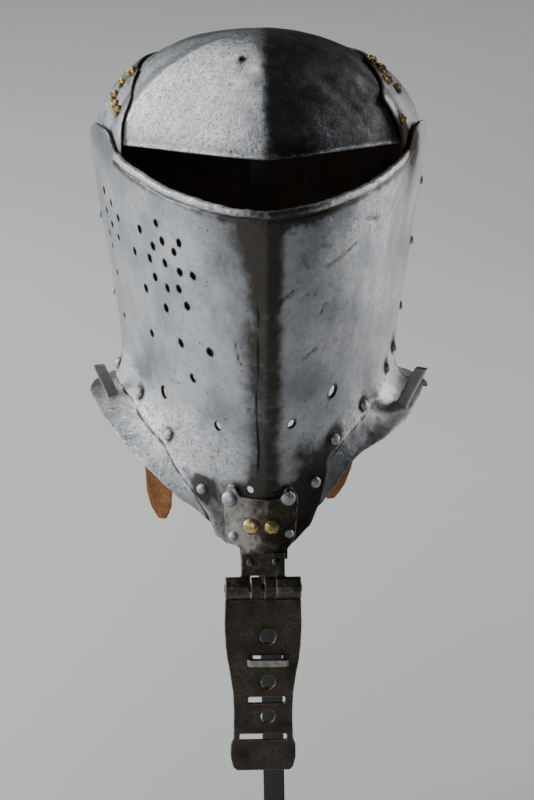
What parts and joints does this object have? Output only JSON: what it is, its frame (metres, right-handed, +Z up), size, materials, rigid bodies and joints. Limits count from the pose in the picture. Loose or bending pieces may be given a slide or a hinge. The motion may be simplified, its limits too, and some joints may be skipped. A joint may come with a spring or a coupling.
{
  "type": "frog-mouth helm on a display stand",
  "caption": "Frog-mouth jousting helm of riveted steel plates: keeled prow, sight under a domed skull, breaths in one cheek and a pierced hinged hasp, on a plain post stand.",
  "frame": {"origin": "middle of the stand's foot, on the floor", "axes": "+Z up, -Y the way the wearer faces, +X towards the wearer's left"},
  "size_m": [0.2709, 0.3442, 0.733],
  "materials": {
    "steel_plate": "worn bright plate with brown tarnish along the keel, lip and lower edges",
    "dark_iron": "dark, pitted, rust in the corners",
    "brass": "dull, rubbed",
    "leather": "old, worn smooth, cracked",
    "stand": "satin black paint"
  },
  "bodies": {
    "helm": {"skull_plate": "steel_plate", "face_plate": "steel_plate", "back_plate": "steel_plate", "collar_right": "steel_plate", "collar_left": "steel_plate", "collar_rivet_right_1": "steel_plate", "collar_rivet_right_2": "steel_plate", "collar_rivet_right_3": "steel_plate", "collar_rivet_right_4": "steel_plate", "collar_rivet_left_1": "steel_plate", "collar_rivet_left_2": "steel_plate", "collar_rivet_left_3": "steel_plate", "collar_rivet_left_4": "steel_plate", "collar_rivet_left_5": "steel_plate", "seam_rivet_right_1": "steel_plate", "seam_rivet_right_2": "steel_plate", "seam_rivet_left_1": "steel_plate", "seam_rivet_left_2": "steel_plate", "seam_rivet_left_3": "steel_plate", "bracket_rivet_upper_right": "steel_plate", "bracket_rivet_upper_left": "steel_plate", "bracket_rivet_lower_right": "steel_plate", "bracket_rivet_lower_left": "steel_plate", "strap_lug_right": "dark_iron", "strap_lug_left": "dark_iron", "hinge_bracket": "dark_iron", "hinge_leaf": "dark_iron", "hinge_pin": "dark_iron", "leaf_rivet_right": "dark_iron", "leaf_rivet_left": "dark_iron", "rosette_right_1": "brass", "rosette_right_2": "brass", "rosette_right_3": "brass", "rosette_right_4": "brass", "rosette_right_5": "brass", "rosette_left_1": "brass", "rosette_left_2": "brass", "rosette_left_3": "brass", "rosette_left_4": "brass", "rosette_left_5": "brass", "brass_rivet_right": "brass", "brass_rivet_left": "brass", "leather_strap_right": "leather", "leather_strap_left": "leather", "display_stand": "stand"},
    "hasp": {"hasp_plate": "dark_iron", "hasp_staple": "dark_iron"}
  },
  "joints": [
    {"name": "hasp_swing", "type": "hinge", "parent": "helm", "child": "hasp", "pos_m": [-0.003, -0.15444, 0.344], "axis": [-1, 0, 0], "range_deg": [-60, 125]}
  ]
}
